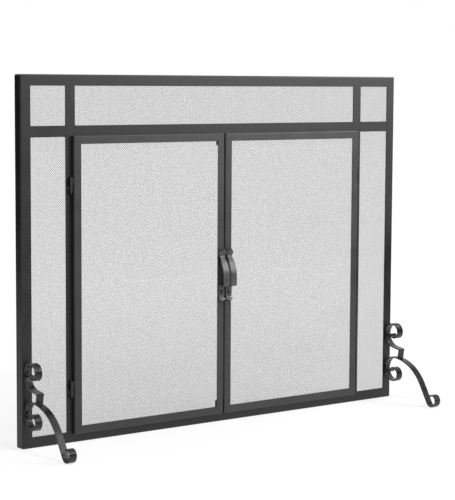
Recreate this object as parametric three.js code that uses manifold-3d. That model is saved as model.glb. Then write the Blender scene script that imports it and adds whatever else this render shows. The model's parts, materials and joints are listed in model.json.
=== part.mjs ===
// Two-door flat fireplace screen, in millimetres.
// X runs along the width, Y from the room (-) to the hearth (+), Z up.
// The origin is the centre of the bottom rail's underside, on the floor.
import * as THREE from 'three';
import { mergeVertices } from 'three/addons/utils/BufferGeometryUtils.js';
import Module from 'manifold-3d';

const wasm = await Module();
wasm.setup();

// ---------------------------------------------------------------- driving dimensions
const fit = 0.3; // clearance between neighbouring pieces

const screen = { width: 1117.6, height: 838.2 };
// Angle folded from sheet: a front flange, and a flange along its outer edge that runs back.
// heel and root are the bend's outer and inner radii, edge the easing of the sheared edges.
const angle = { width: 25.4, depth: 25.4, thickness: 2.5, heel: 3.3, root: 0.8, edge: 0.4 };
const doorAngle = { width: 19.05, depth: 9.5, thickness: 2, heel: 2.6, root: 0.6, edge: 0.4 };
const corner = { frame: 4, door: 2 }; // how far the welded corners are ground round
const panel = { side: 90.5, top: 88.9 }; // clear mesh beside the mullions, and over the cross rail
const bar = { width: 25.4, thickness: angle.thickness, edge: 0.8 }; // mullions and cross rail
const sheet = { thickness: 0.6, lap: 4 }; // lap: how far it reaches behind a flange
const strip = { width: 18, thickness: 2, edge: 0.5 }; // covers the edges where two sheets meet

const door = {
  lapSide: 9.1, lapTop: 2.8, lapBottom: 5.4, // how far it covers the bars around it
  standOff: 0.6, // from the frame's front to the door's back
  meetingGap: 3.2,
};

const hinge = {
  radius: 4.2, knuckle: 17, clear: 0.8,
  pin: 2.25, pinEnd: 4.5, pinShort: 0.5, pinChamfer: 0.8, // radius, shown below, short of the top
  pad: 4, padShort: 1, // welded pad, this much shorter than its knuckle at each end
  drop: 110.3, rise: 106, // from the door's top and bottom to the split between knuckles
};

const catchBlock = { width: 25, depth: 10, height: 26, edge: 1.5, pole: 2, tab: 18, tabThickness: 2 };

const strap = { width: 18, thickness: 3.2 }; // flat bar of the feet
const leg = {
  topForward: 33.6, topHeight: 110.5, // highest point of the centre line
  arch: 118, fall: 59, // radius, and the slope it ends at
  heel: 16, ball: 16, toe: 13.3, tip: 12, tipTurn: 50,
  curlBack: 30, curlFront: 17, curlRise: 17, curlEye: 13, eyeTurn: 85,
};
const scroll = {
  postAngle: 8.7, postHeight: 22.5, // the post stands square on the arch
  tailSlope: 9, bend: 36, bendTurn: 48, back: 33,
  over: 26.5, front: 20.5, under: 15.5, eye: 10,
};

const bolt = { radius: 3, headRadius: 5.5, headHeight: 3.4, rim: 0.4, chamfer: 0.5, shank: 14 };
const nut = { acrossFlats: 10, height: 5 };
const screw = { radius: 2.5, headRadius: 4.8, headHeight: 3, rim: 0.4, chamfer: 0.5, shank: 8 };

const grip = {
  width: 17.5, thickness: 3, neck: 14,
  height: 297, // of the lower leaf's tip, from the floor
  lowerLeaf: 5, lowerFlip: 12, lowerTurn: 40, lowerSpread: 21,
  tab: 24, bend: 2.6, reach: 15.5, foot: 16,
  bow: 80, bowTurn: 37,
  upperFlip: 12, upperTurn: 77, upperLeaf: 9, upperSpread: 22,
  tipWidth: 2.5, ridge: 2.4, tipRidge: 0.3,
  lowerWidest: 5, lowerNeck: 11, lowerFull: 16, // distances from the lower tip
  upperWidest: 11, upperNeck: 23, upperFull: 46, // distances from the upper tip
  screwRise: 22, // screw's height over the lower tip
};

// ---------------------------------------------------------------- places worked out from them
const half = screen.width / 2;
const innerSide = half - angle.width; // inner edge of a stile
const innerTop = screen.height - angle.width;
const midHeight = screen.height / 2;
const front = -angle.depth / 2; // front plane of the frame
const stileX = half - angle.width / 2;
const mullionX = innerSide - panel.side - bar.width / 2;
const crossZ = innerTop - panel.top - bar.width / 2;
const barY = front + bar.thickness / 2;
const sheetY = front + bar.thickness + fit + sheet.thickness / 2;
const stripY = sheetY + sheet.thickness / 2 + fit + strip.thickness / 2;

const openingHalf = mullionX - bar.width / 2;
const openingTop = crossZ - bar.width / 2;
const doorOuter = openingHalf + door.lapSide;
const doorInner = door.meetingGap / 2;
const doorTop = openingTop + door.lapTop;
const doorBottom = angle.width - door.lapBottom;
const doorY = front - door.standOff - doorAngle.depth / 2;
const doorFront = doorY - doorAngle.depth / 2;
const doorMeshY = doorFront + doorAngle.thickness + fit + sheet.thickness / 2;

const hingeX = doorOuter + hinge.clear + hinge.radius;
const hingeY = front - hinge.clear - hinge.radius;
const gripX = doorInner + doorAngle.width / 2;
const seat = fit + strap.thickness / 2; // a foot's centre line where it bears on the stile

const rad = THREE.MathUtils.degToRad;

// ---------------------------------------------------------------- finishes
const finish = (color, roughness, metalness) =>
  new THREE.MeshStandardMaterial({ color, roughness, metalness });
const powderCoat = finish(0x2b2b2c, 0.45, 0.3);
const forgedCoat = finish(0x303031, 0.5, 0.35);
const meshCoat = finish(0x262627, 0.55, 0.3);
const blackSteel = finish(0x19191a, 0.4, 0.5);
const catchCase = finish(0x121213, 0.6, 0);

// ---------------------------------------------------------------- joining and cutting
function toSolid(geometry) {
  const bare = geometry.clone();
  bare.deleteAttribute('normal');
  bare.deleteAttribute('uv');
  const merged = mergeVertices(bare, 1e-4);
  return new wasm.Manifold(new wasm.Mesh({
    numProp: 3,
    vertProperties: new Float32Array(merged.attributes.position.array),
    triVerts: new Uint32Array(merged.index.array),
  }));
}

function toGeometry(solid) {
  const mesh = solid.getMesh();
  const geometry = new THREE.BufferGeometry();
  geometry.setAttribute('position', new THREE.BufferAttribute(mesh.vertProperties, 3));
  geometry.setIndex(new THREE.BufferAttribute(mesh.triVerts, 1));
  geometry.computeVertexNormals();
  return geometry;
}

const cut = (body, tools) =>
  toGeometry(tools.reduce((solid, tool) => solid.subtract(toSolid(tool)), toSolid(body)));
const join = (body, others) =>
  toGeometry(others.reduce((solid, other) => solid.add(toSolid(other)), toSolid(body)));
const common = (body, other) => toGeometry(toSolid(body).intersect(toSolid(other)));

// ---------------------------------------------------------------- basic forms
const box = (sizeX, sizeY, sizeZ, x = 0, y = 0, z = 0) =>
  new THREE.BoxGeometry(sizeX, sizeY, sizeZ).translate(x, y, z);

const rodAlongY = (radius, length, x, y, z) =>
  new THREE.CylinderGeometry(radius, radius, length, 20).translate(x, y, z);

// A turned form about Z, from its outline as [radius, height] pairs.
const turned = (outline, segments = 20) =>
  new THREE.LatheGeometry(outline.map(([r, z]) => new THREE.Vector2(r, z)), segments)
    .rotateX(Math.PI / 2);

function roundedRectangle(width, depth, radius) {
  const x = width / 2 - radius;
  const y = depth / 2 - radius;
  const shape = new THREE.Shape();
  shape.absarc(x, -y, radius, -Math.PI / 2, 0);
  shape.absarc(x, y, radius, 0, Math.PI / 2);
  shape.absarc(-x, y, radius, Math.PI / 2, Math.PI);
  shape.absarc(-x, -y, radius, Math.PI, Math.PI * 1.5);
  return shape;
}

// A solid flat strip with eased edges, standing along Z and centred on the origin.
function flatStrip(width, depth, edge, length) {
  return new THREE.ExtrudeGeometry(roundedRectangle(width, depth, edge), {
    depth: length, bevelEnabled: false, curveSegments: 3,
  }).translate(0, 0, -length / 2);
}

// Folded angle along Z, mitred at both ends: its front flange faces -Y, and the other flange
// runs back along its outer edge, on the -X side.
function mitredAngle({ width, depth, thickness, heel, root, edge }, length) {
  const [outer, inner, near, far] = [-width / 2, width / 2, -depth / 2, depth / 2];
  const foldX = outer + thickness;
  const foldY = near + thickness;
  const profile = new THREE.Shape();
  profile.absarc(inner - edge, near + edge, edge, -Math.PI / 2, 0);
  profile.absarc(inner - edge, foldY - edge, edge, 0, Math.PI / 2);
  profile.absarc(foldX + root, foldY + root, root, -Math.PI / 2, -Math.PI, true);
  profile.absarc(foldX - edge, far - edge, edge, 0, Math.PI / 2);
  profile.absarc(outer + edge, far - edge, edge, Math.PI / 2, Math.PI);
  profile.absarc(outer + heel, near + heel, heel, Math.PI, Math.PI * 1.5);
  const geometry = new THREE.ExtrudeGeometry(profile, {
    depth: length, bevelEnabled: false, curveSegments: 4,
  }).translate(0, 0, -length / 2);
  const place = geometry.attributes.position;
  const seam = fit / Math.SQRT2; // half of the seam, measured along the bar
  for (let i = 0; i < place.count; i += 1) {
    const fromOuterFace = place.getX(i) - outer;
    place.setZ(i, place.getZ(i) - Math.sign(place.getZ(i)) * (fromOuterFace + seam));
  }
  return geometry;
}

// A mitred frame's four bars about its centre, each trimmed to the frame's ground corners.
function mitredFrame(section, width, height, ground) {
  const outline = new THREE.ExtrudeGeometry(roundedRectangle(width, height, ground), {
    depth: 2 * section.depth, bevelEnabled: false, curveSegments: 6,
  }).translate(0, 0, -section.depth).rotateX(Math.PI / 2);
  const [x, z] = [(width - section.width) / 2, (height - section.width) / 2];
  const place = (bar, atX, atZ) =>
    common(bar.translate(atX, 0, atZ), outline).translate(-atX, 0, -atZ);
  return {
    top: place(laidAlongX(mitredAngle(section, width)), 0, z),
    bottom: place(laidAlongX(mitredAngle(section, width), -1), 0, -z),
    left: place(mitredAngle(section, height), -x, 0),
    right: place(mitredAngle(section, height).rotateY(Math.PI), x, 0),
  };
}

// Turns a form made along Z to lie along X, its -X side up or down.
const laidAlongX = (geometry, upSide = 1) => geometry.rotateY((upSide * Math.PI) / 2);

const flatBar = (length) => flatStrip(bar.width, bar.thickness, bar.edge, length);

// Woven sheet as a plain plate in the X-Z plane, between two corners.
const meshSheet = (x0, x1, z0, z1) =>
  box(x1 - x0, sheet.thickness, z1 - z0, (x0 + x1) / 2, 0, (z0 + z1) / 2);

// ---------------------------------------------------------------- bent flat bar
// A centre line in the plane of forward (u, towards the room) and up (v), made of straights
// and arcs, each tangent to the last. A positive turn goes anticlockwise, in degrees.
class BentLine {
  constructor(u, v, heading) {
    this.points = [new THREE.Vector2(u, v)];
    this.headings = [rad(heading)];
  }

  get end() { return this.points.at(-1); }

  get heading() { return this.headings.at(-1); }

  straight(length, steps = 1) {
    const { x, y } = this.end;
    const heading = this.heading;
    for (let i = 1; i <= steps; i += 1) {
      const run = (length * i) / steps;
      this.points.push(new THREE.Vector2(x + run * Math.cos(heading), y + run * Math.sin(heading)));
      this.headings.push(heading);
    }
    return this;
  }

  arc(radius, turn, step = 7.5) {
    const { x, y } = this.end;
    const from = this.heading;
    const side = Math.sign(turn) * radius;
    const count = Math.ceil(Math.abs(turn) / step);
    for (let i = 1; i <= count; i += 1) {
      const heading = from + (rad(turn) * i) / count;
      this.points.push(new THREE.Vector2(
        x + side * (Math.sin(heading) - Math.sin(from)),
        y - side * (Math.cos(heading) - Math.cos(from))));
      this.headings.push(heading);
    }
    return this;
  }

  reversed() {
    this.points.reverse();
    this.headings = this.headings.reverse().map((heading) => heading + Math.PI);
    return this;
  }

  // One face of a bar this line runs through the middle of. Where the line turns a sharp
  // corner, the face turns there too, on the line that halves the corner.
  face(offset) {
    return this.points.map(({ x, y }, i) => {
      const heading = this.headings[i];
      const reach = i === this.cornerAt ? offset / Math.cos(this.cornerTurn / 2) : offset;
      const square = i === this.cornerAt ? heading - this.cornerTurn / 2 : heading;
      return new THREE.Vector2(x - reach * Math.sin(square), y + reach * Math.cos(square));
    });
  }

  corner(turn) {
    this.cornerAt = this.points.length - 1;
    this.cornerTurn = rad(turn);
    this.headings[this.cornerAt] += rad(turn);
    return this;
  }
}

// The outline of the bar's edge, extruded across its width.
function bentBar(line, width, thickness) {
  const outline = [...line.face(thickness / 2), ...line.face(-thickness / 2).reverse()];
  const geometry = new THREE.ExtrudeGeometry(new THREE.Shape(outline), {
    depth: width, bevelEnabled: false,
  }).translate(0, 0, -width / 2);
  return intoPlace(geometry);
}

// Turns (forward, up, across) into (-Y, Z, -X), with forward counted from the frame's front.
function intoPlace(geometry) {
  const turn = new THREE.Matrix4().makeBasis(
    new THREE.Vector3(0, -1, 0), new THREE.Vector3(0, 0, 1), new THREE.Vector3(-1, 0, 0));
  return geometry.applyMatrix4(turn).translate(0, front, 0);
}

// A forged strap: like a bent bar, but its width changes along it and it may have a ridge
// down its room side. section(t) takes the distance along the line and gives both.
function forgedStrap(line, thickness, section) {
  const positions = [];
  let run = 0;
  line.points.forEach(({ x: u, y: v }, i) => {
    if (i > 0) run += line.points[i].distanceTo(line.points[i - 1]);
    const { width, ridge } = section(run);
    const roomU = Math.sin(line.headings[i]);
    const roomV = -Math.cos(line.headings[i]);
    const ring = [
      [-width / 2, -thickness / 2], [0, -thickness / 2 + ridge], [width / 2, -thickness / 2],
      [width / 2, thickness / 2], [0, thickness / 2 + ridge], [-width / 2, thickness / 2],
    ];
    ring.forEach(([across, out]) => positions.push(u + out * roomU, v + out * roomV, across));
  });
  const indices = [];
  const sides = 6;
  const stations = line.points.length;
  for (let i = 0; i < stations - 1; i += 1) {
    for (let j = 0; j < sides; j += 1) {
      const [a, b] = [i * sides + j, i * sides + ((j + 1) % sides)];
      indices.push(a, b, b + sides, a, b + sides, a + sides);
    }
  }
  const cap = [0, 5, 4, 0, 4, 1, 1, 4, 3, 1, 3, 2];
  const last = (stations - 1) * sides;
  indices.push(...cap, ...cap.reverse().map((index) => index + last));
  const geometry = new THREE.BufferGeometry();
  geometry.setAttribute('position', new THREE.Float32BufferAttribute(positions, 3));
  geometry.setIndex(indices);
  intoPlace(geometry).computeVertexNormals();
  return geometry;
}

// A smooth value along a line, from [distance, value] stops.
function eased(stops, distance) {
  const next = stops.findIndex(([at]) => at >= distance);
  if (next === 0) return stops[0][1];
  if (next < 0) return stops.at(-1)[1];
  const [[fromAt, from], [toAt, to]] = [stops[next - 1], stops[next]];
  return from + (to - from) * THREE.MathUtils.smoothstep(distance, fromAt, toAt);
}

// ---------------------------------------------------------------- the feet's centre lines
// A leg: an inward curl against the stile, an arch, a straight and a toe curled up off the floor.
function legLine() {
  const level = strap.thickness / 2;
  const fallen = 1 - Math.cos(rad(leg.fall));
  const shin = (leg.topHeight - (leg.arch + leg.heel) * fallen - level) / Math.sin(rad(leg.fall));
  return new BentLine(leg.topForward, leg.topHeight, 180)
    .arc(leg.topForward - seat, 90)
    .arc(leg.curlBack, 90)
    .arc(leg.curlFront, 90)
    .arc(leg.curlRise, 90)
    .arc(leg.curlEye, leg.eyeTurn)
    .reversed()
    .arc(leg.arch, -leg.fall, 4)
    .straight(shin)
    .arc(leg.heel, leg.fall)
    .arc(leg.ball, 90)
    .arc(leg.toe, 90)
    .arc(leg.tip, leg.tipTurn);
}
const legBoltZ = leg.topHeight - (leg.topForward - seat);

// The upper bar: a post on the arch, a square corner, and a tail that climbs into a curl.
function scrollLine() {
  const { postAngle, postHeight, tailSlope, bend, bendTurn, back } = scroll;
  const onArch = leg.arch + strap.thickness / 2 + fit;
  const lean = rad(postAngle);
  const line = new BentLine(
    leg.topForward + onArch * Math.sin(lean),
    leg.topHeight - leg.arch + onArch * Math.cos(lean),
    90 - postAngle).straight(postHeight);
  const tailHeading = 180 - tailSlope;
  const bent = Math.sin(rad(tailHeading - bendTurn));
  const turnedBack = bend * (bent - Math.sin(rad(tailHeading))) + back * (1 - bent);
  const tail = (line.end.x - seat - turnedBack) / Math.cos(rad(tailSlope));
  line.corner(tailHeading - (90 - postAngle))
    .straight(tail)
    .arc(bend, -bendTurn)
    .arc(back, bendTurn - tailHeading + 90);
  line.boltZ = line.end.y;
  return line.arc(scroll.over, -90).arc(scroll.front, -90).arc(scroll.under, -90)
    .arc(scroll.eye, -90, 10);
}
const scrollBoltZ = scrollLine().boltZ;

// Where each bolt crosses its bar: the height, and the tighter of the curves that meet there.
const footBolts = [
  { piece: 'leg', z: legBoltZ, curl: Math.min(leg.topForward - seat, leg.curlBack) },
  { piece: 'scroll', z: scrollBoltZ, curl: Math.min(scroll.over, scroll.back) },
];

// ---------------------------------------------------------------- small parts
// A button-headed fastener along Y: its head's flat underside at y = 0, the shank going to +Y.
function buttonHead({ radius, headRadius, headHeight, rim, chamfer }, shank) {
  const dome = [0, 30, 60].map((angle) => [
    headRadius * Math.cos(rad(angle)), rim + (headHeight - rim) * Math.sin(rad(angle))]);
  const outline = [[0, -shank], [radius - chamfer, -shank], [radius, chamfer - shank], [radius, 0],
    [headRadius, 0], ...dome, [0, headHeight]];
  return turned(outline).rotateX(Math.PI / 2);
}

function hexNut() {
  const cornerRadius = nut.acrossFlats / 2 / Math.cos(Math.PI / 6);
  const hexagon = new THREE.Shape(Array.from({ length: 6 }, (_, i) => new THREE.Vector2(
    cornerRadius * Math.cos((i * Math.PI) / 3), cornerRadius * Math.sin((i * Math.PI) / 3))));
  const bore = new THREE.Path().absarc(0, 0, bolt.radius + fit, 0, 2 * Math.PI);
  hexagon.holes.push(bore);
  return new THREE.ExtrudeGeometry(hexagon, { depth: nut.height, bevelEnabled: false, curveSegments: 10 })
    .rotateX(Math.PI / 2).translate(0, nut.height, 0);
}

// ---------------------------------------------------------------- assembly
const group = new THREE.Group();
const sides = [['left', -1], ['right', 1]];

function add(name, geometry, material, x = 0, y = 0, z = 0, parent = group) {
  const piece = new THREE.Mesh(geometry, material);
  piece.name = name;
  piece.position.set(x, y, z);
  parent.add(piece);
}

// ---- outer frame: four mitred angles, drilled for the feet
function addFrame() {
  const { width, thickness } = angle;
  const bars = mitredFrame(angle, screen.width, screen.height, corner.frame);
  add('frame_top_rail', bars.top, powderCoat, 0, 0, screen.height - width / 2);
  add('frame_bottom_rail', bars.bottom, powderCoat, 0, 0, width / 2);
  sides.forEach(([side, s]) => {
    const holes = footBolts.map(({ z }) =>
      rodAlongY(bolt.radius + fit, 4 * thickness, 0, front, z - midHeight));
    add(`frame_${side}_stile`, cut(bars[side], holes), powderCoat, s * stileX, 0, midHeight);
  });
}

// ---- mullions and cross rail: flat bar, flush with the frame's front
function addBars() {
  const height = innerTop - angle.width - 2 * fit;
  const crossSpan = 2 * (openingHalf - fit);
  const stubSpan = panel.side - 2 * fit;
  add('centre_cross_rail', laidAlongX(flatBar(crossSpan)), powderCoat, 0, barY, crossZ);
  sides.forEach(([side, s]) => {
    add(`${side}_mullion`, flatBar(height), powderCoat, s * mullionX, barY, midHeight);
    add(`${side}_cross_rail`, laidAlongX(flatBar(stubSpan)),
      powderCoat, s * (innerSide - panel.side / 2), barY, crossZ);
  });
}

// ---- fixed mesh, welded behind the flanges, and the strips that cover where two sheets meet
function addFixedMesh() {
  const [low, high] = [angle.width - sheet.lap, innerTop + sheet.lap];
  const outerEdge = innerSide + sheet.lap;
  const meetingEdge = mullionX + fit / 2;
  add('left_side_mesh', meshSheet(-outerEdge, -meetingEdge, low, high), meshCoat, 0, sheetY, 0);
  add('right_side_mesh', meshSheet(meetingEdge, outerEdge, low, high), meshCoat, 0, sheetY, 0);
  const topEnd = mullionX - fit / 2;
  add('top_mesh', meshSheet(-topEnd, topEnd, crossZ, high), meshCoat, 0, sheetY, 0);

  const { width, thickness, edge } = strip;
  const height = innerTop - angle.width - 2 * fit;
  sides.forEach(([side, s]) => {
    add(`${side}_mesh_strip`, flatStrip(width, thickness, edge, height),
      powderCoat, s * mullionX, stripY, midHeight);
  });
  const span = 2 * (mullionX - width / 2 - fit);
  add('centre_mesh_strip', laidAlongX(flatStrip(width, thickness, edge, span)),
    powderCoat, 0, stripY, crossZ);
}

// ---- magnetic catches at the middle of the opening, each hung by a tab behind its rail. A pole
// stands just clear of each door's meeting flange.
function addCatches() {
  const { width, depth, height, edge, pole, tab, tabThickness } = catchBlock;
  const poleX = doorInner + doorAngle.thickness / 2;
  const poleStand = door.standOff - fit;
  const block = (tabSide, seat) => {
    const poles = [-1, 1].map((s) =>
      box(pole, 2 * poleStand, height - 4 * edge, s * poleX, -depth / 2, 0));
    const tabY = seat + fit + tabThickness / 2 - (front + depth / 2);
    const tabLength = tab + height / 2;
    const tabPlate = box(width - 2 * edge, tabThickness, tabLength, 0, tabY, (tabSide * tabLength) / 2);
    return join(flatStrip(width, depth, edge, height), [...poles, tabPlate]);
  };
  const behindStrip = stripY + strip.thickness / 2;
  const behindFlange = front + angle.thickness;
  add('upper_catch', block(1, behindStrip), catchCase,
    0, front + depth / 2, openingTop - fit - height / 2);
  add('lower_catch', block(-1, behindFlange), catchCase,
    0, front + depth / 2, angle.width + fit + height / 2);
}

// ---- hinges: the lower knuckle and its pin stay on the mullion, the upper one is the door's
const hingeSplits = { upper: doorTop - hinge.drop, lower: doorBottom + hinge.rise };

function lowerKnuckle(side) {
  const { radius, knuckle, pin, pinEnd, pinShort, pinChamfer, clear, pad, padShort } = hinge;
  const pinTop = knuckle + fit - pinShort;
  const pinFoot = -knuckle - pinEnd;
  const barrel = turned([
    [0, pinFoot], [pin - pinChamfer, pinFoot], [pin, pinFoot + pinChamfer],
    [pin, -knuckle], [radius, -knuckle], [radius, 0], [pin, 0], [pin, pinTop - pinChamfer],
    [pin - pinChamfer, pinTop], [0, pinTop]]);
  const padDepth = radius + clear - fit;
  const padHeight = knuckle - 2 * padShort;
  const padTo = box(pad, padDepth, padHeight, side * (radius - pad / 2), padDepth / 2, -knuckle / 2);
  return join(barrel, [padTo]);
}

function upperKnuckle(side) {
  const { radius, knuckle, pin, clear, pad, padShort } = hinge;
  const bore = pin + fit;
  const sleeve = turned([[bore, fit], [radius, fit], [radius, fit + knuckle],
    [bore, fit + knuckle], [bore, fit]]);
  const wall = (bore + radius) / 2; // the pad starts inside the sleeve's wall
  const padWidth = radius + clear - fit - wall;
  const padHeight = knuckle - 2 * padShort;
  const padTo = box(padWidth, pad, padHeight, -side * (wall + padWidth / 2), 0, fit + knuckle / 2);
  return join(sleeve, [padTo]);
}

// ---- one door: four mitred angles with mesh behind them, upper knuckles, handle and its screw
function gripLine() {
  const { lowerLeaf, lowerFlip, lowerTurn, tab, bend, reach, foot, bow, bowTurn } = grip;
  const onStile = front - doorFront + fit + grip.thickness / 2; // centre line against the stile
  const line = new BentLine(0, 0, 90 + lowerTurn)
    .straight(lowerLeaf, 3)
    .arc(lowerFlip, -lowerTurn, 8);
  const shift = new THREE.Vector2(onStile - line.end.x, grip.height);
  line.points.forEach((point) => point.add(shift));
  return line.straight(tab, 4)
    .arc(bend, -90, 15).straight(reach)
    .arc(bend, 90, 15).straight(foot, 2)
    .arc(bow, bowTurn, 4)
    .arc(grip.upperFlip, -grip.upperTurn, 8)
    .straight(grip.upperLeaf, 5);
}

function gripSection(total) {
  const { width, neck, tipWidth, ridge, tipRidge } = grip;
  const [upperFull, upperNeck, upperWidest] =
    [grip.upperFull, grip.upperNeck, grip.upperWidest].map((fromTip) => total - fromTip);
  const widths = [
    [0, tipWidth], [grip.lowerWidest, grip.lowerSpread], [grip.lowerNeck, neck],
    [grip.lowerFull, width],
    [upperFull, width], [upperNeck, neck], [upperWidest, grip.upperSpread], [total, tipWidth]];
  const ridges = [
    [0, tipRidge], [grip.lowerWidest, ridge], [grip.lowerNeck, 0],
    [upperNeck, 0], [upperWidest, ridge], [total, tipRidge]];
  return (run) => ({ width: eased(widths, run), ridge: eased(ridges, run) });
}

function handle() {
  const line = gripLine();
  const total = line.points.slice(1).reduce((sum, p, i) => sum + p.distanceTo(line.points[i]), 0);
  const body = forgedStrap(line, grip.thickness, gripSection(total));
  const hole = rodAlongY(screw.radius + fit, 4 * grip.thickness, 0, doorFront - grip.thickness / 2,
    grip.height + grip.screwRise);
  return cut(body, [hole]);
}

function addDoor(side, s) {
  const { width, depth } = doorAngle;
  const fullWidth = doorOuter - doorInner;
  const fullHeight = doorTop - doorBottom;
  const midX = (s * (doorInner + doorOuter)) / 2;
  const midZ = (doorTop + doorBottom) / 2;
  const screwZ = grip.height + grip.screwRise;
  const screwHole = rodAlongY(screw.radius + fit, 2 * depth, 0, 0, screwZ - midZ);
  const bars = mitredFrame(doorAngle, fullWidth, fullHeight, corner.door);
  const [hingeStile, meetingStile] = s < 0 ? [bars.left, bars.right] : [bars.right, bars.left];

  add(`${side}_door_hinge_stile`, hingeStile, powderCoat, s * (doorOuter - width / 2), doorY, midZ);
  add(`${side}_door_meeting_stile`, cut(meetingStile, [screwHole]), powderCoat, s * gripX, doorY, midZ);
  add(`${side}_door_top_rail`, bars.top, powderCoat, midX, doorY, doorTop - width / 2);
  add(`${side}_door_bottom_rail`, bars.bottom, powderCoat, midX, doorY, doorBottom + width / 2);
  const meshX = fullWidth / 2 - width + sheet.lap;
  const meshZ = fullHeight / 2 - width + sheet.lap;
  add(`${side}_door_mesh`, meshSheet(-meshX, meshX, -meshZ, meshZ), meshCoat, midX, doorMeshY, midZ);

  Object.entries(hingeSplits).forEach(([level, z]) => {
    add(`${side}_${level}_hinge_knuckle`, upperKnuckle(s), blackSteel, s * hingeX, hingeY, z);
    add(`${side}_${level}_hinge_pin`, lowerKnuckle(s), blackSteel, s * hingeX, hingeY, z);
  });

  add(`${side}_handle`, handle(), forgedCoat, s * gripX, 0, 0);
  const headSeat = doorFront - 2 * fit - grip.thickness;
  add(`${side}_handle_screw`, buttonHead(screw, screw.shank), blackSteel, s * gripX, headSeat, screwZ);
}

// ---- one foot: the leg, the scroll bar on it, and two bolts into nuts behind the stile
function addFoot(side, s) {
  const drilled = (line, z) => cut(bentBar(line, strap.width, strap.thickness),
    [rodAlongY(bolt.radius + fit, 4 * strap.thickness, 0, front, z)]);
  add(`${side}_leg`, drilled(legLine(), legBoltZ), forgedCoat, s * stileX, 0, 0);
  add(`${side}_leg_scroll`, drilled(scrollLine(), scrollBoltZ), forgedCoat, s * stileX, 0, 0);
  const nutSeat = front + angle.thickness + fit;
  footBolts.forEach(({ piece, z, curl }) => {
    const hollow = curl - strap.thickness / 2; // the head bridges the inside of this curve
    const bridge = hollow - Math.sqrt(hollow ** 2 - bolt.headRadius ** 2);
    const headSeat = front - 2 * fit - strap.thickness - bridge;
    add(`${side}_${piece}_bolt`, buttonHead(bolt, bolt.shank), blackSteel, s * stileX, headSeat, z);
    add(`${side}_${piece}_nut`, hexNut(), blackSteel, s * stileX, nutSeat, z);
  });
}

addFrame();
addBars();
addFixedMesh();
addCatches();
sides.forEach(([side, s]) => addDoor(side, s));
sides.forEach(([side, s]) => addFoot(side, s));

export default group;
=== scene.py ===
"""A two-door flat fireplace screen: its coat, woven mesh, welds and fasteners, in studio light."""

import json
import math

import bmesh
import bpy
from mathutils import Matrix, Vector


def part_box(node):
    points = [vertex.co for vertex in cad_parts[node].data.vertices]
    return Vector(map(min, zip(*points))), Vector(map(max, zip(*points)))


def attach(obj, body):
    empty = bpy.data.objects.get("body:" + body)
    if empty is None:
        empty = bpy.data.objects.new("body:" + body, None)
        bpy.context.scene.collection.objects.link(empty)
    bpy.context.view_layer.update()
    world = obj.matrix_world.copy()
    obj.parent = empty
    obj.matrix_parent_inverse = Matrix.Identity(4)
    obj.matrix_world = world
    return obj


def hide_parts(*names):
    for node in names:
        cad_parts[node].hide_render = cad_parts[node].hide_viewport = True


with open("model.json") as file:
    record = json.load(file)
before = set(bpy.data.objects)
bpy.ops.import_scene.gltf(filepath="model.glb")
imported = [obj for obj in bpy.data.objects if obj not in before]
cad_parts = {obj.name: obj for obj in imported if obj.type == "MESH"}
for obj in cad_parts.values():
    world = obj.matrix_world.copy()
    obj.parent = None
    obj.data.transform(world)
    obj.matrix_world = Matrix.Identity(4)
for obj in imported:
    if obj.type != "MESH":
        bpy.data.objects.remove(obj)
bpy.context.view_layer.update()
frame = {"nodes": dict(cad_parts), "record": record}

MM = 0.001
record = frame["record"]
nodes = frame["nodes"]
body_of_node = {
    node: body for body, members in record["behaviour"]["bodies"].items() for node in members
}
SIDES = (("left", -1), ("right", 1))  # each side's name and its direction along x
PER_METRE = 1000  # a pattern whose size is in millimetres has the scale PER_METRE / size


# ------------------------------------------------------------------ colour and node helpers
def colour(hex_value):
    """An sRGB hex colour as linear RGBA."""
    channels = [((hex_value >> shift) & 255) / 255 for shift in (16, 8, 0)]
    linear = [c / 12.92 if c <= 0.04045 else ((c + 0.055) / 1.055) ** 2.4 for c in channels]
    return (*linear, 1.0)


def add(tree, kind, inputs=(), **settings):
    """Adds a node. Settings are its attributes, inputs its values or links by name or number."""
    made = tree.nodes.new(kind)
    for name, value in settings.items():
        setattr(made, name, value)
    for key, value in dict(inputs).items():
        if isinstance(value, bpy.types.NodeSocket):
            tree.links.new(value, made.inputs[key])
        else:
            made.inputs[key].default_value = value
    return made


def new_material(name):
    """A new material and its tree, which is empty."""
    material = bpy.data.materials.new(name)
    material.use_nodes = True
    material.node_tree.nodes.clear()
    return material, material.node_tree


# ------------------------------------------------------------------ finishes
CLOUD_START, CLOUD_END = 0.3, 0.7  # the part of its noise that a coat's shade and sheen run over
PEEL_STRENGTH, PEEL_DEPTH = 0.35, 0.03 * MM  # the coat's orange peel
DENT_ROUGHNESS = 0.4  # how uneven the hammer's dents are
COAT_IOR = 1.5
GRAIN_STRENGTH, GRAIN_DEPTH = 0.4, 0.02 * MM  # the plastic's moulded grain
GRAIN_LIGHTER = 0x050505  # how much lighter the plastic gets away from each grain's middle
PLASTIC_ROUGHNESS, PLASTIC_IOR = 0.62, 1.53


def shade_between(tree, amount, dark, light, start=0.0, end=1.0):
    """A colour that goes from dark to light as the amount goes from start to end."""
    ramp = add(tree, "ShaderNodeValToRGB", {"Fac": amount})
    first, last = ramp.color_ramp.elements
    first.position, first.color = start, colour(dark)
    last.position, last.color = end, colour(light)
    return ramp.outputs["Color"]


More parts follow.
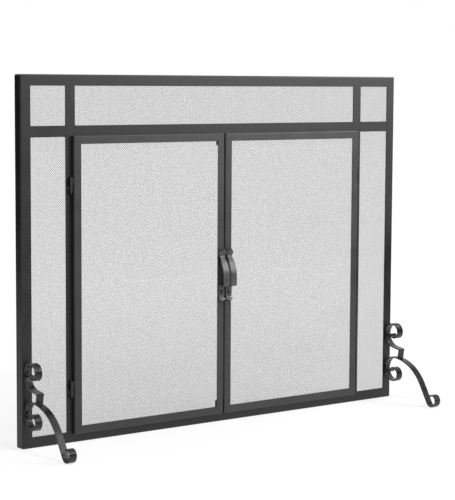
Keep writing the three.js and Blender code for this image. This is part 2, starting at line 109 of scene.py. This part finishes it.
def sprayed_coat(name, dark, light, rough, patch, grain, hammer=None):
    """Satin powder coat on steel: a thin, slightly uneven film with a fine orange peel.

    rough is the range of its roughness. patch and grain are the sizes, in millimetres, of its
    cloudiness and of its peel. hammer adds the shallow dents of forged bar, as their size and
    depth in millimetres.
    """
    material, tree = new_material(name)
    place = add(tree, "ShaderNodeTexCoord").outputs["Object"]
    cloud = add(tree, "ShaderNodeTexNoise", {
        "Vector": place, "Scale": PER_METRE / patch, "Detail": 4.0}).outputs["Fac"]
    peel = add(tree, "ShaderNodeTexNoise", {
        "Vector": place, "Scale": PER_METRE / grain, "Detail": 2.0}).outputs["Fac"]
    tone = shade_between(tree, cloud, dark, light, CLOUD_START, CLOUD_END)
    sheen = add(tree, "ShaderNodeMapRange", {
        "Value": cloud, "From Min": CLOUD_START, "From Max": CLOUD_END,
        "To Min": rough[0], "To Max": rough[1]})
    surface = add(tree, "ShaderNodeBump", {
        "Height": peel, "Strength": PEEL_STRENGTH, "Distance": PEEL_DEPTH})
    if hammer:
        size, depth = hammer
        dents = add(tree, "ShaderNodeTexNoise", {
            "Vector": place, "Scale": PER_METRE / size, "Detail": 1.0,
            "Roughness": DENT_ROUGHNESS})
        surface = add(tree, "ShaderNodeBump", {
            "Height": dents.outputs["Fac"], "Strength": 1.0, "Distance": depth * MM,
            "Normal": surface.outputs["Normal"]})
    shader = add(tree, "ShaderNodeBsdfPrincipled", {
        "Base Color": tone, "Roughness": sheen.outputs["Result"],
        "Normal": surface.outputs["Normal"], "IOR": COAT_IOR})
    add(tree, "ShaderNodeOutputMaterial", {"Surface": shader.outputs["BSDF"]})
    return material


def moulded_plastic(name, base, grain):
    """Matt black ABS with the fine spark-eroded grain of its mould, its size in millimetres."""
    material, tree = new_material(name)
    place = add(tree, "ShaderNodeTexCoord").outputs["Object"]
    cells = add(tree, "ShaderNodeTexVoronoi", {
        "Vector": place, "Scale": PER_METRE / grain}).outputs["Distance"]
    tone = shade_between(tree, cells, base, base + GRAIN_LIGHTER)
    surface = add(tree, "ShaderNodeBump", {
        "Height": cells, "Strength": GRAIN_STRENGTH, "Distance": GRAIN_DEPTH})
    shader = add(tree, "ShaderNodeBsdfPrincipled", {
        "Base Color": tone, "Roughness": PLASTIC_ROUGHNESS, "IOR": PLASTIC_IOR,
        "Normal": surface.outputs["Normal"]})
    add(tree, "ShaderNodeOutputMaterial", {"Surface": shader.outputs["BSDF"]})
    return material


# Powder coat on angle and flat bar: even and satin, so long bars read as clean dark grey.
bar_coat = sprayed_coat("powder_coated_angle_and_bar", 0x141415, 0x1B1B1C, (0.38, 0.47), 38, 0.9)
# The same coat on the doors' angle, painted a shade lighter as painted light, so the doors stand out
# from the frame.
door_coat_painted_lighter = sprayed_coat("powder_coated_door_angle_painted_lighter", 0x343435, 0x3E3E3F, (0.36, 0.45), 38, 0.9)
# The same coat over forged bar: the hammer's dents under it break up each reflection.
forged_coat = sprayed_coat(
    "powder_coated_forged_foot", 0x121213, 0x202021, (0.22, 0.32), 12, 0.8, hammer=(7, 0.3))
# The same coat on the handles, smoother again and painted lighter as a painted highlight, so their
# bends catch the light.
handle_coat_painted_lighter = sprayed_coat(
    "powder_coated_forged_handle_painted_lighter", 0x3C3C3D, 0x5A5A5B, (0.18, 0.28), 10, 0.8, hammer=(5, 0.3))
# Coated woven wire: about as dark as the bars, so the strands grey what is seen between them.
wire_coat = sprayed_coat("coated_woven_wire", 0x161617, 0x1E1E1F, (0.36, 0.44), 60, 0.4)
# Weld metal under the coat: rippled, and a little lighter and glossier than the bars it joins.
weld_coat = sprayed_coat(
    "powder_coated_weld", 0x303031, 0x3C3C3D, (0.28, 0.38), 6, 0.7, hammer=(2, 0.12))
# Black-oxide bolts, nuts, screws and hinges: nearly black, with a thin oil shine.
oxide_steel = sprayed_coat("black_oxide_steel", 0x1C1C1D, 0x2A2A2B, (0.2, 0.3), 5, 0.3)
# Moulded catches: matt black, and duller than the coated metal round them.
catch_plastic = moulded_plastic("moulded_abs_black", 0x121213, 0.5)


# ------------------------------------------------------------------ pieces
MERGE_WITHIN = 0.000002  # metres between corners that are one corner
FLAT_WITHIN = math.radians(0.5)  # faces that turn less than this are one face
CURVE_UNDER = math.radians(32)  # edges that turn less than this lie on a curve
EASE_OVER = math.radians(40)  # edges that turn more than this are eased


def finish_piece(mesh_object, body, slot, replaced=()):
    """Puts a piece on its body, in place of the CAD nodes that it shows. Its slot is not used."""
    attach(mesh_object, body)
    if replaced:
        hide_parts(*replaced)


def new_object(name, mesh):
    made = bpy.data.objects.new(name, mesh)
    bpy.context.scene.collection.objects.link(made)
    return made


def plain_mesh(source, name):
    """The source's mesh with its modifiers worked in, on a new object; the source is removed."""
    bpy.context.view_layer.update()
    evaluated = source.evaluated_get(bpy.context.evaluated_depsgraph_get())
    mesh = bpy.data.meshes.new_from_object(evaluated)
    mesh.name = name
    bpy.data.objects.remove(source)
    return new_object(name, mesh)


def finished_copy(node, material, slot, edge):
    """A CAD node's own shape with its edges eased and its curves shaded smooth."""
    form = bmesh.new()
    form.from_mesh(nodes[node].data)
    bmesh.ops.remove_doubles(form, verts=form.verts, dist=MERGE_WITHIN)
    bmesh.ops.dissolve_limit(form, angle_limit=FLAT_WITHIN, verts=form.verts, edges=form.edges)
    mesh = bpy.data.meshes.new(node + "_form")
    form.to_mesh(mesh)
    form.free()
    mesh.shade_smooth()
    mesh.set_sharp_from_angle(angle=CURVE_UNDER)
    piece = new_object(node + "_form", mesh)
    easing = piece.modifiers.new("eased edges", "BEVEL")
    easing.width = edge * MM
    easing.segments = 2
    easing.limit_method = "ANGLE"
    easing.angle_limit = EASE_OVER
    # Shading follows the larger face at each corner, so flat faces stay flat beside their curves.
    shading = piece.modifiers.new("flat faces", "WEIGHTED_NORMAL")
    shading.mode = "FACE_AREA"
    shading.weight = 100
    shading.keep_sharp = True
    piece = plain_mesh(piece, node + "_finish")
    piece.data.materials.clear()
    piece.data.materials.append(material)
    finish_piece(piece, body_of_node[node], slot, [node])


def material_of(node):
    """The finish, record slot and eased edge, in millimetres, that a CAD node gets."""
    if "catch" in node:
        return catch_plastic, "catch_case", 0.4
    if node.endswith(("_leg", "_leg_scroll")):
        return forged_coat, "forged_coat", 0.7
    if node.endswith("_handle"):
        # The handles take the coat painted lighter: a painted highlight on their bends.
        return handle_coat_painted_lighter, "forged_coat", 0.5
    if node.endswith(("_bolt", "_nut", "_screw", "_pin", "_knuckle")):
        return oxide_steel, "black_steel", 0.25
    # The doors take the coat painted a shade lighter: painted light, not a different finish.
    if "_door_" in node:
        return door_coat_painted_lighter, "powder_coat", 0.3
    return bar_coat, "powder_coat", 0.3


for node in sorted(nodes):
    if not node.endswith("_mesh"):
        finished_copy(node, *material_of(node))


# ------------------------------------------------------------------ geometry trees
def growing_tree(name, inputs):
    """A geometry tree with the named inputs and one output, and those inputs."""
    tree = bpy.data.node_groups.new(name, "GeometryNodeTree")
    face = tree.interface
    face.new_socket("Geometry", in_out="OUTPUT", socket_type="NodeSocketGeometry")
    for title, kind in inputs:
        face.new_socket(title, in_out="INPUT", socket_type=f"NodeSocket{kind}")
    return tree, add(tree, "NodeGroupInput").outputs


def maths_in(tree):
    """A function that adds one calculation to the tree and gives its result."""
    def maths(operation, first, second=0.0):
        return add(tree, "ShaderNodeMath", {0: first, 1: second}, operation=operation).outputs[0]

    return maths


def end_tree(tree, geometry, material):
    """Ends a tree: its geometry is made real, coated and handed out."""
    real = add(tree, "GeometryNodeRealizeInstances", {0: geometry})
    coated = add(tree, "GeometryNodeSetMaterial", {
        "Geometry": real.outputs[0], "Material": material})
    add(tree, "NodeGroupOutput", {0: coated.outputs[0]})


def grow(tree, name, values):
    """A plain mesh that a geometry tree makes from its named inputs."""
    holder = new_object(name + "_source", bpy.data.meshes.new(name + "_source"))
    modifier = holder.modifiers.new(tree.name, "NODES")
    modifier.node_group = tree
    for item in tree.interface.items_tree:
        if item.item_type == "SOCKET" and item.in_out == "INPUT":
            modifier[item.identifier] = values[item.name]
    return plain_mesh(holder, name)


# ------------------------------------------------------------------ woven diamond mesh
CELL_WIDTH = 6.0 * MM
CELL_HEIGHT = 3.8 * MM
WIRE = 0.68 * MM
WIRE_SIDES = 4  # sides of the wire's section
CRIMP = 0.22 * MM  # how far a wire rises and falls as it passes over and under the others


def weave_tree():
    """Wires that zigzag across a sheet. Where one turns back at an edge, the next crosses it.

    Each row of the grid becomes one wire: its stations are half a cell apart, it climbs and falls
    half a cell at each, and it lies in front of the wires it crosses and behind them by turns.
    """
    tree, given = growing_tree("diamond weave", (
        ("Columns", "Int"), ("Rows", "Int"), ("Step X", "Float"), ("Step Z", "Float"),
        ("Wire", "Float"), ("Crimp", "Float"), ("Centre", "Vector"), ("Material", "Material"),
    ))
    maths = maths_in(tree)
    columns, rows = given["Columns"], given["Rows"]
    half_columns, half_rows = maths("DIVIDE", columns, 2.0), maths("DIVIDE", rows, 2.0)
    last_row = maths("SUBTRACT", rows, 1.0)
    grid = add(tree, "GeometryNodeMeshGrid", {
        "Size X": columns, "Size Y": last_row,
        "Vertices X": maths("ADD", columns, 1.0), "Vertices Y": rows})

    # Only the edges along a row stay: the others rise by a whole row.
    ends = add(tree, "GeometryNodeInputMeshEdgeVertices").outputs
    across = add(tree, "ShaderNodeVectorMath", {
        0: ends["Position 1"], 1: ends["Position 2"]}, operation="SUBTRACT").outputs[0]
    rise = add(tree, "ShaderNodeSeparateXYZ", {0: across}).outputs["Y"]
    between_rows = add(tree, "FunctionNodeCompare", {
        0: maths("ABSOLUTE", rise), 1: 0.5}, operation="GREATER_THAN").outputs[0]
    lines = add(tree, "GeometryNodeDeleteGeometry", {
        "Geometry": grid.outputs["Mesh"], "Selection": between_rows},
        domain="EDGE", mode="EDGE_FACE").outputs[0]

    place = add(tree, "ShaderNodeSeparateXYZ", {
        0: add(tree, "GeometryNodeInputPosition").outputs[0]}).outputs
    station = maths("ROUND", maths("ADD", place["X"], half_columns))
    wire = maths("ROUND", maths("ADD", place["Y"], maths("DIVIDE", last_row, 2.0)))
    there_and_back = maths("MULTIPLY", rows, 2.0)
    travel = maths("MODULO", maths("ADD", station, maths("MULTIPLY", wire, 2.0)), there_and_back)
    level = maths("SUBTRACT", rows, maths("ABSOLUTE", maths("SUBTRACT", travel, rows)))
    climbing = maths("LESS_THAN", travel, rows)
    odd = maths("MODULO", station, 2.0)
    in_front = maths("ABSOLUTE", maths("SUBTRACT", odd, climbing))
    over = maths("SUBTRACT", maths("MULTIPLY", in_front, 2.0), 1.0)
    spot = add(tree, "ShaderNodeCombineXYZ", {
        "X": maths("MULTIPLY", maths("SUBTRACT", station, half_columns), given["Step X"]),
        "Y": maths("MULTIPLY", over, given["Crimp"]),
        "Z": maths("MULTIPLY", maths("SUBTRACT", level, half_rows), given["Step Z"])})
    spot = add(tree, "ShaderNodeVectorMath", {
        0: spot.outputs[0], 1: given["Centre"]}, operation="ADD")
    woven = add(tree, "GeometryNodeSetPosition", {"Geometry": lines, "Position": spot.outputs[0]})
    path = add(tree, "GeometryNodeMeshToCurve", {"Mesh": woven.outputs[0]})
    section = add(tree, "GeometryNodeCurvePrimitiveCircle", {
        "Resolution": WIRE_SIDES, "Radius": maths("DIVIDE", given["Wire"], 2.0)}, mode="RADIUS")
    wires = add(tree, "GeometryNodeCurveToMesh", {
        "Curve": path.outputs[0], "Profile Curve": section.outputs[0], "Fill Caps": True})
    end_tree(tree, wires.outputs[0], given["Material"])
    return tree


weave = weave_tree()


def woven_sheet(node, parts):
    """The wires of one mesh panel, in as many parts, one over the other, as its size asks for."""
    low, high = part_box(node)
    height = (high.z - low.z) / parts
    columns = 2 * round((high.x - low.x) / CELL_WIDTH)
    rows = 2 * round(height / CELL_HEIGHT)
    # A single part keeps its wires inside the panel's height. Two run right up to each other.
    spare = WIRE if parts == 1 else 0.0
    for part in range(parts):
        centre = ((low.x + high.x) / 2, (low.y + high.y) / 2, low.z + height * (part + 0.5))
        name = node + "_wires" + (f"_{part + 1}" if parts > 1 else "")
        wires = grow(weave, name, {
            "Columns": columns, "Rows": rows,
            "Step X": (high.x - low.x - WIRE) / columns, "Step Z": (height - spare) / rows,
            "Wire": WIRE, "Crimp": CRIMP, "Centre": centre, "Material": wire_coat})
        wires.data.shade_smooth()
        finish_piece(wires, body_of_node[node], "mesh_coat", [node])


for panel, parts in (
    ("left_side_mesh", 1), ("right_side_mesh", 1), ("top_mesh", 1),
    ("left_door_mesh", 2), ("right_door_mesh", 2),
):
    woven_sheet(panel, parts)


# ------------------------------------------------------------------ weld beads
RIPPLE = 0.9 * MM  # how far apart a bead's ripples lie
RIPPLE_THIN, RIPPLE_THICK = 0.82, 1.0  # how uneven they are, as shares of the bead's radius
ARCH_POWER, END_SHARE = 0.35, 0.25  # how blunt a bead's ends are, and how thin they get
BEAD_SIDES = 12  # sides of a bead's section


def bead_tree():
    """A weld bead along a straight run: a round cord with the ripples that the arc left."""
    tree, given = growing_tree("weld bead", (
        ("Start", "Vector"), ("End", "Vector"), ("Radius", "Float"), ("Ripple", "Float"),
        ("Seed", "Int"), ("Material", "Material"),
    ))
    maths = maths_in(tree)
    run = add(tree, "GeometryNodeCurvePrimitiveLine", {
        "Start": given["Start"], "End": given["End"]})
    steps = add(tree, "GeometryNodeResampleCurve", {
        "Curve": run.outputs[0], "Length": given["Ripple"]}, mode="LENGTH")
    uneven = add(tree, "FunctionNodeRandomValue", {
        2: RIPPLE_THIN, 3: RIPPLE_THICK, "Seed": given["Seed"]}).outputs[1]
    # The bead thins to its ends as a round arch does.
    along = add(tree, "GeometryNodeSplineParameter").outputs["Factor"]
    arch = maths("POWER", maths("SINE", maths("MULTIPLY", along, math.pi)), ARCH_POWER)
    size = maths("MULTIPLY", uneven, maths("MAXIMUM", arch, END_SHARE))
    size = maths("MULTIPLY", size, given["Radius"])
    section = add(tree, "GeometryNodeCurvePrimitiveCircle", {
        "Resolution": BEAD_SIDES, "Radius": 1.0}, mode="RADIUS")
    cord = add(tree, "GeometryNodeCurveToMesh", {
        "Curve": steps.outputs[0], "Profile Curve": section.outputs[0], "Fill Caps": True,
        "Scale": size})
    end_tree(tree, cord.outputs[0], given["Material"])
    return tree


bead = bead_tree()


def welds(name, body, runs, slot="powder_coat"):
    """Beads along straight runs, each a start, an end and a radius in millimetres, in one piece."""
    made = []
    for number, (start, end, radius) in enumerate(runs):
        made.append(grow(bead, f"{name}_{number}", {
            "Start": Vector(start), "End": Vector(end), "Radius": radius * MM,
            "Ripple": RIPPLE, "Seed": number, "Material": weld_coat}))
    form = bmesh.new()
    for piece in made:
        form.from_mesh(piece.data)
        bpy.data.objects.remove(piece)
    mesh = bpy.data.meshes.new(name)
    form.to_mesh(mesh)
    form.free()
    mesh.materials.append(weld_coat)
    joined = new_object(name, mesh)
    mesh.shade_smooth()
    finish_piece(joined, body, slot)


FRAME_FLANGE, DOOR_FLANGE = 2.5 * MM, 2.0 * MM  # thickness of what the corner beads join
FRAME_LEG = 25.4 * MM  # width of the frame's angle
BEAD_INSET = 0.3 * MM  # how far inside the metal's edges a bead stops
BEAD_CLEAR = 0.1  # millimetres of metal left over a bead that lies within a wall
CORNER_BEAD, KNUCKLE_BEAD, FOOT_BEAD = 1.0, 1.2, 1.2  # radii in millimetres
KNUCKLE_BEAD_OFF = 2.2 * MM  # from the middle of the knuckle to each of its beads
KNUCKLE_BEAD_SHORT = 1.5 * MM  # how far short of the knuckle's ends they stop
# A pin's beads, in millimetres: how far out from the pin, in front of the mullion and below the
# knuckle each starts and ends, and its radius. One ties the pin to the mullion, one runs up it.
PIN_BEADS = (
    ((-1.0, 0.8, 9.0), (6.0, 0.8, 8.0), 2.6),
    ((0.0, 0.3, 15.0), (0.0, 0.3, 2.0), 1.4),
)
FOOT_BEAD_SHORT = 0.8 * MM  # how far short of the strap's edges its beads stop
FOOT_BAND = 1.2 * MM  # the lowest part of the scroll's post, which stands on the leg
JOINT_GAP = 0.3 * MM  # what the parts leave between two pieces that are welded together
FRAME_HEEL, DOOR_HEEL = 3.3 * MM, 2.6 * MM  # outer radius of each angle's fold
FRAME_GROUND, DOOR_GROUND = 4.0 * MM, 2.0 * MM  # radius that the welded corners are ground to


def corner_run(x, z, node, thickness):
    """A short bead through a flange's thickness, at one inside corner."""
    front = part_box(node)[0].y
    return ((x, front + BEAD_INSET, z), (x, front + thickness - BEAD_INSET, z), CORNER_BEAD)


def mitre_runs(stiles, rails, thickness, heel, ground):
    """Beads in the walls of four mitres: over the front flange, round the fold, along the corner.

    They lie within the metal, so that each joint is closed and its face stays ground flush.
    """
    side_boxes, level_boxes = [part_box(node) for node in stiles], [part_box(node) for node in rails]
    centre_x = sum(low.x + high.x for low, high in side_boxes) / 4
    centre_z = sum(low.z + high.z for low, high in level_boxes) / 4
    front, back = side_boxes[0][0].y, side_boxes[0][1].y
    cut = ground * (1 - math.sqrt(0.5))  # how far grinding takes the corner in
    clear = BEAD_CLEAR * MM
    runs = []
    for side_low, side_high in side_boxes:
        out_x, in_x, to_x = ((side_high.x, side_low.x, -1) if side_low.x > centre_x
                             else (side_low.x, side_high.x, 1))
        for low, high in level_boxes:
            out_z, in_z, to_z = (high.z, low.z, -1) if low.z > centre_z else (low.z, high.z, 1)

            def at(depth, y):
                return (out_x + to_x * depth, y, out_z + to_z * depth)

            wall, along = thickness / 2, (thickness + cut) / 2
            flange = ((in_x, front + wall, in_z), at(heel, front + wall), (wall - clear) / MM)
            fold = (at(heel, front + wall), at(along, front + heel), (wall - clear) / MM)
            corner = (at(along, front + wall), at(along, back - BEAD_INSET),
                      ((thickness - cut) / math.sqrt(2) - clear) / MM)
            runs += [flange, fold, corner]
    return runs


def butt_runs(node, upright):
    """A bead across each end of a flat bar, within its thickness."""
    low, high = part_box(node)
    y = (low.y + high.y) / 2
    radius = (high.y - low.y) / 2 / MM - BEAD_CLEAR
    if upright:
        return [((low.x + BEAD_INSET, y, z), (high.x - BEAD_INSET, y, z), radius)
                for z in (low.z - JOINT_GAP / 2, high.z + JOINT_GAP / 2)]
    return [((x, y, low.z + BEAD_INSET), (x, y, high.z - BEAD_INSET), radius)
            for x in (low.x - JOINT_GAP / 2, high.x + JOINT_GAP / 2)]


def frame_corner_welds():
    """Beads in the frame's mitres, and where the bars meet the frame and each other."""
    runs = mitre_runs(
        ("frame_left_stile", "frame_right_stile"), ("frame_bottom_rail", "frame_top_rail"),
        FRAME_FLANGE, FRAME_HEEL, FRAME_GROUND)
    for node in ("left_mullion", "right_mullion"):
        runs += butt_runs(node, True)
    for node in ("left_cross_rail", "centre_cross_rail", "right_cross_rail"):
        runs += butt_runs(node, False)
    cross = tuple(corner.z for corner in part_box("centre_cross_rail"))
    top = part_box("frame_top_rail")[1].z - FRAME_LEG
    for side, sign in SIDES:
        low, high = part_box(f"{side}_mullion")
        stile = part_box(f"frame_{side}_stile")
        inner_stile = stile[0].x if sign > 0 else stile[1].x
        corners = [(x, z) for x in (low.x, high.x) for z in (low.z, top, *cross)]
        corners += [(inner_stile, z) for z in cross]
        runs += [corner_run(x, z, f"{side}_mullion", FRAME_FLANGE) for x, z in corners]
    welds("frame_corner_welds", "screen_frame", runs)


def door_corner_welds():
    """Beads in the mitres and the four inside corners of each door."""
    for side, sign in SIDES:
        hinge_stile, meeting_stile = f"{side}_door_hinge_stile", f"{side}_door_meeting_stile"
        bottom_rail, top_rail = f"{side}_door_bottom_rail", f"{side}_door_top_rail"
        hinge_side, meeting_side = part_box(hinge_stile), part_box(meeting_stile)
        xs = ((hinge_side[0].x, meeting_side[1].x) if sign > 0
              else (hinge_side[1].x, meeting_side[0].x))
        zs = (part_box(top_rail)[0].z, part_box(bottom_rail)[1].z)
        runs = [corner_run(x, z, hinge_stile, DOOR_FLANGE) for x in xs for z in zs]
        runs += mitre_runs((hinge_stile, meeting_stile), (bottom_rail, top_rail),
                           DOOR_FLANGE, DOOR_HEEL, DOOR_GROUND)
        welds(f"{side}_door_corner_welds", f"{side}_door", runs)


def hinge_welds():
    """Beads that hold each hinge: the knuckle on the door's edge, the pin on the mullion's face."""
    for side, sign in SIDES:
        for level in ("upper", "lower"):
            low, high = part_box(f"{side}_{level}_hinge_knuckle")
            door_edge = low.x if sign > 0 else high.x
            middle = (low.y + high.y) / 2
            runs = [((door_edge, y, low.z + KNUCKLE_BEAD_SHORT),
                     (door_edge, y, high.z - KNUCKLE_BEAD_SHORT), KNUCKLE_BEAD)
                    for y in (middle - KNUCKLE_BEAD_OFF, middle + KNUCKLE_BEAD_OFF)]
            welds(f"{side}_{level}_knuckle_weld", f"{side}_door", runs)
            split = low.z
            low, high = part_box(f"{side}_{level}_hinge_pin")
            outer = high.x if sign > 0 else low.x
            mullion_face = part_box(f"{side}_mullion")[0].y

            def by_pin(out, forward, down):
                return (outer + sign * out * MM, mullion_face - forward * MM, split - down * MM)

            runs = [(by_pin(*start), by_pin(*end), radius) for start, end, radius in PIN_BEADS]
            welds(f"{side}_{level}_pin_weld", "screen_frame", runs)


def foot_welds():
    """Beads across the strap, where the scroll's post stands on the leg's arch."""
    for side, _ in SIDES:
        scroll = f"{side}_leg_scroll"
        low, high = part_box(scroll)
        corners = (corner.co for corner in nodes[scroll].data.vertices)
        depths = [corner.y for corner in corners if corner.z < low.z + FOOT_BAND]
        left, right = low.x + FOOT_BEAD_SHORT, high.x - FOOT_BEAD_SHORT
        runs = [((left, y, low.z), (right, y, low.z), FOOT_BEAD)
                for y in (min(depths), max(depths))]
        welds(f"{side}_foot_weld", "screen_frame", runs, "forged_coat")


frame_corner_welds()
door_corner_welds()
hinge_welds()
foot_welds()


# ------------------------------------------------------------------ floor, light and camera
PAPER_REACH = 14.0  # metres from the paper's middle to its edges
PAPER_DROP = 0.3 * MM  # how far the paper lies below the feet
GLOW_MIDDLE = (0.7, -0.8, 0.0)  # where the paper's glow is weakest
GLOW_FROM, GLOW_TO = (0.3, 0.735), (3.5, 0.945)  # distance from there in metres, and glow
SURROUND_LIGHT, SURROUND_SEEN = 0.25, 1.0  # the surround's strength as a light and to the eye
CAMERA_PLACE = (-2.473, -3.2594, 0.8222)
CAMERA_YAW, CAMERA_PITCH, CAMERA_ROLL = 37.48, 5.64, 0.31  # degrees
LENS, SENSOR = 122.2, 36  # millimetres
SIGHT = 60  # how far the camera sees, in metres


def seen_not_lit(tree):
    """1 where the eye sees the surface, straight or in a reflection, and 0 where it only lights."""
    rays = add(tree, "ShaderNodeLightPath").outputs
    seen = rays["Is Camera Ray"]
    for kind in ("Is Glossy Ray", "Is Transmission Ray"):
        seen = maths_in(tree)("MAXIMUM", seen, rays[kind])
    return seen


def flat_sheet(name, wide, high):
    """A flat rectangle about the origin, by half its width and half its height."""
    mesh = bpy.data.meshes.new(name)
    corners = [(-wide, -high, 0), (wide, -high, 0), (wide, high, 0), (-wide, high, 0)]
    mesh.from_pydata(corners, [], [(0, 1, 2, 3)])
    return mesh


def studio_floor():
    """A pale seamless floor that shows white and still takes the screen's shadow."""
    mesh = flat_sheet("floor", PAPER_REACH, PAPER_REACH)
    mesh.transform(Matrix.Translation((0, 0, -PAPER_DROP)))
    material, tree = new_material("seamless_paper")
    lit = add(tree, "ShaderNodeBsdfDiffuse", {"Color": colour(0xE8E8E8)}).outputs[0]
    # What is seen is mostly its own white, with enough of the light on it to keep the shadow.
    shade = add(tree, "ShaderNodeBsdfDiffuse", {"Color": colour(0x9A9A9A)}).outputs[0]
    # The glow rises away from the lamps, to hold the paper near white where they light it less.
    place = add(tree, "ShaderNodeTexCoord").outputs["Object"]
    away = add(tree, "ShaderNodeVectorMath", {0: place, 1: GLOW_MIDDLE}, operation="DISTANCE")
    rise = add(tree, "ShaderNodeMapRange", {
        "Value": away.outputs["Value"], "From Min": GLOW_FROM[0], "From Max": GLOW_TO[0],
        "To Min": GLOW_FROM[1], "To Max": GLOW_TO[1]},
        interpolation_type="SMOOTHSTEP").outputs["Result"]
    glow = add(tree, "ShaderNodeEmission", {"Color": (1, 1, 1, 1), "Strength": rise}).outputs[0]
    bright = add(tree, "ShaderNodeAddShader", {0: shade, 1: glow}).outputs[0]
    both = add(tree, "ShaderNodeMixShader", {0: seen_not_lit(tree), 1: lit, 2: bright}).outputs[0]
    add(tree, "ShaderNodeOutputMaterial", {"Surface": both})
    mesh.materials.append(material)
    new_object("studio_floor", mesh)


def studio_world():
    """A plain pale surround: white where it is seen, softer where it only lights."""
    world = bpy.data.worlds.new("studio")
    bpy.context.scene.world = world
    world.use_nodes = True
    tree = world.node_tree
    tree.nodes.clear()
    soft, white = (
        add(tree, "ShaderNodeBackground", {"Color": (1, 1, 1, 1), "Strength": strength}).outputs[0]
        for strength in (SURROUND_LIGHT, SURROUND_SEEN))
    both = add(tree, "ShaderNodeMixShader", {0: seen_not_lit(tree), 1: soft, 2: white}).outputs[0]
    add(tree, "ShaderNodeOutputWorld", {"Surface": both})


def softbox(name, place, target, size, power):
    """A rectangular lamp that faces its target, its size in metres and its power in watts."""
    light = bpy.data.lights.new(name, "AREA")
    light.shape = "RECTANGLE"
    light.size, light.size_y = size
    light.energy = power
    lamp = bpy.data.objects.new(name, light)
    bpy.context.scene.collection.objects.link(lamp)
    lamp.location = place
    lamp.rotation_euler = (Vector(target) - Vector(place)).to_track_quat("-Z", "Y").to_euler()


def flag(name, place, target, size):
    """A black card that only reflections see: it keeps the white surround off the bars."""
    mesh = flat_sheet(name, size[0] / 2, size[1] / 2)
    mesh.transform((Vector(target) - Vector(place)).to_track_quat("-Z", "Y").to_matrix().to_4x4())
    mesh.transform(Matrix.Translation(place))
    material, tree = new_material(name + "_felt")
    felt = add(tree, "ShaderNodeBsdfDiffuse", {"Color": colour(0x0A0A0A)}).outputs[0]
    add(tree, "ShaderNodeOutputMaterial", {"Surface": felt})
    mesh.materials.append(material)
    card = new_object(name, mesh)
    card.visible_camera = card.visible_diffuse = card.visible_shadow = False
    card.visible_transmission = False


def camera():
    """A long lens from the left of the screen's middle, at the height of its top rail."""
    yaw, pitch, roll = (math.radians(turn) for turn in (CAMERA_YAW, CAMERA_PITCH, CAMERA_ROLL))
    ahead = Vector((
        math.sin(yaw) * math.cos(pitch), math.cos(yaw) * math.cos(pitch), -math.sin(pitch)))
    level_right = Vector((math.cos(yaw), -math.sin(yaw), 0))
    level_up = level_right.cross(ahead)
    right = math.cos(roll) * level_right + math.sin(roll) * level_up
    up = math.cos(roll) * level_up - math.sin(roll) * level_right
    data = bpy.data.cameras.new("camera")
    data.sensor_width = SENSOR
    data.lens = LENS
    data.clip_end = SIGHT
    made = bpy.data.objects.new("camera", data)
    bpy.context.scene.collection.objects.link(made)
    turn = Matrix((right, up, -ahead)).transposed().to_4x4()
    made.matrix_world = Matrix.Translation(CAMERA_PLACE) @ turn
    bpy.context.scene.camera = made


studio_floor()
studio_world()
# Lamps and cards by place, target and size, and the lamps' power.
softbox("key", (1.45, -1.75, 1.45), (0.1, 0, 0.6), (1.1, 1.1), 19)
softbox("edge", (1.75, -0.6, 1.5), (0.55, 0, 0.75), (0.6, 0.6), 16)
softbox("top", (-0.2, -1.3, 2.1), (0, -0.1, 0.5), (0.5, 0.3), 14)
flag("left_flag", (-1.75, 1.5, 0.45), (-0.56, 0, 0.5), (2.8, 2.0))
flag("front_flag", (0.3, -1.7, 0.3), (-0.5, 0, 0.4), (0.7, 0.8))
flag("right_flag", (2.15, -1.7, 0.1), (0.55, 0, 0.4), (0.7, 0.9))
flag("foot_flag", (0.80, -0.22, 0.28), (0.55, -0.1, 0.1), (0.34, 0.34))
camera()
bpy.context.scene.view_settings.view_transform = "Standard"
